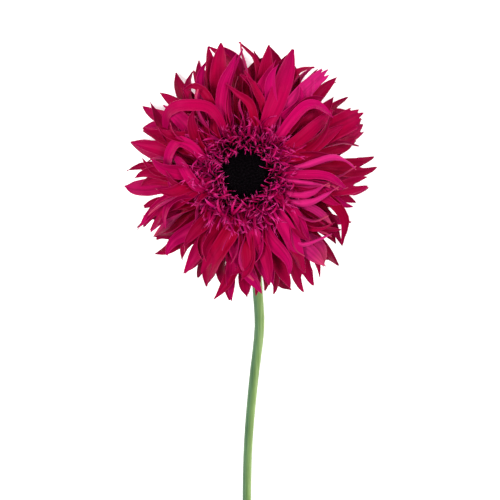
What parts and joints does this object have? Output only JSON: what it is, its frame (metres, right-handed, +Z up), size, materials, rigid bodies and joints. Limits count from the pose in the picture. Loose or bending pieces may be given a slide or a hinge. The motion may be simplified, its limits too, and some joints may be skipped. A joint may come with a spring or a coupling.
{
  "type": "cut gerbera",
  "caption": "Single cut spider gerbera lying down: bare stem on the surface, bent neck, and a face-up magenta head of strap petals round a frill and a dark eye.",
  "frame": {"origin": "middle of the bounding box's underside, on the surface that the flower lies on", "axes": "+Y from the cut end of the stem towards the head, +Z up from the surface, +X to the right when looking down with the head at the top"},
  "size_m": [0.119, 0.4102, 0.0581],
  "materials": {
    "petal_magenta": "soft velvety petal, darker veins along it, paler underside",
    "frill_magenta": "soft velvety petal, deeper than the rays",
    "dark_eye": "near-black packed buds, matt",
    "stem_green": "yellow-green stalk, faintly ribbed and downy, satin",
    "bract_green": "green downy bracts, matt"
  },
  "bodies": {
    "root": {"disc_florets": "dark_eye", "involucre": "bract_green", "ray_front_01": "petal_magenta", "ray_front_02": "petal_magenta", "ray_front_03": "petal_magenta", "ray_front_04": "petal_magenta", "ray_front_05": "petal_magenta", "ray_front_06": "petal_magenta", "ray_front_07": "petal_magenta", "ray_front_08": "petal_magenta", "ray_front_09": "petal_magenta", "ray_front_10": "petal_magenta", "ray_front_11": "petal_magenta", "ray_middle_01": "petal_magenta", "ray_middle_02": "petal_magenta", "ray_middle_03": "petal_magenta", "ray_middle_04": "petal_magenta", "ray_middle_05": "petal_magenta", "ray_middle_06": "petal_magenta", "ray_middle_07": "petal_magenta", "ray_middle_08": "petal_magenta", "ray_middle_09": "petal_magenta", "ray_middle_10": "petal_magenta", "ray_middle_11": "petal_magenta", "ray_middle_12": "petal_magenta", "ray_middle_13": "petal_magenta", "ray_middle_14": "petal_magenta", "ray_middle_15": "petal_magenta", "ray_outer_01": "petal_magenta", "ray_outer_02": "petal_magenta", "ray_outer_03": "petal_magenta", "ray_outer_04": "petal_magenta", "ray_outer_05": "petal_magenta", "ray_outer_06": "petal_magenta", "ray_outer_07": "petal_magenta", "ray_outer_08": "petal_magenta", "ray_outer_09": "petal_magenta", "ray_outer_10": "petal_magenta", "ray_outer_11": "petal_magenta", "ray_outer_12": "petal_magenta", "ray_outer_13": "petal_magenta", "ray_outer_14": "petal_magenta", "ray_outer_15": "petal_magenta", "ray_upper_01": "petal_magenta", "ray_upper_02": "petal_magenta", "ray_upper_03": "petal_magenta", "ray_upper_04": "petal_magenta", "ray_upper_05": "petal_magenta", "ray_upper_06": "petal_magenta", "ray_upper_07": "petal_magenta", "ray_upper_08": "petal_magenta", "ray_upper_09": "petal_magenta", "ray_upper_10": "petal_magenta", "ray_upper_11": "petal_magenta", "ray_upper_12": "petal_magenta", "ray_upper_13": "petal_magenta", "ray_upper_14": "petal_magenta", "stem": "stem_green", "trans_florets": "frill_magenta"}
  },
  "joints": []
}
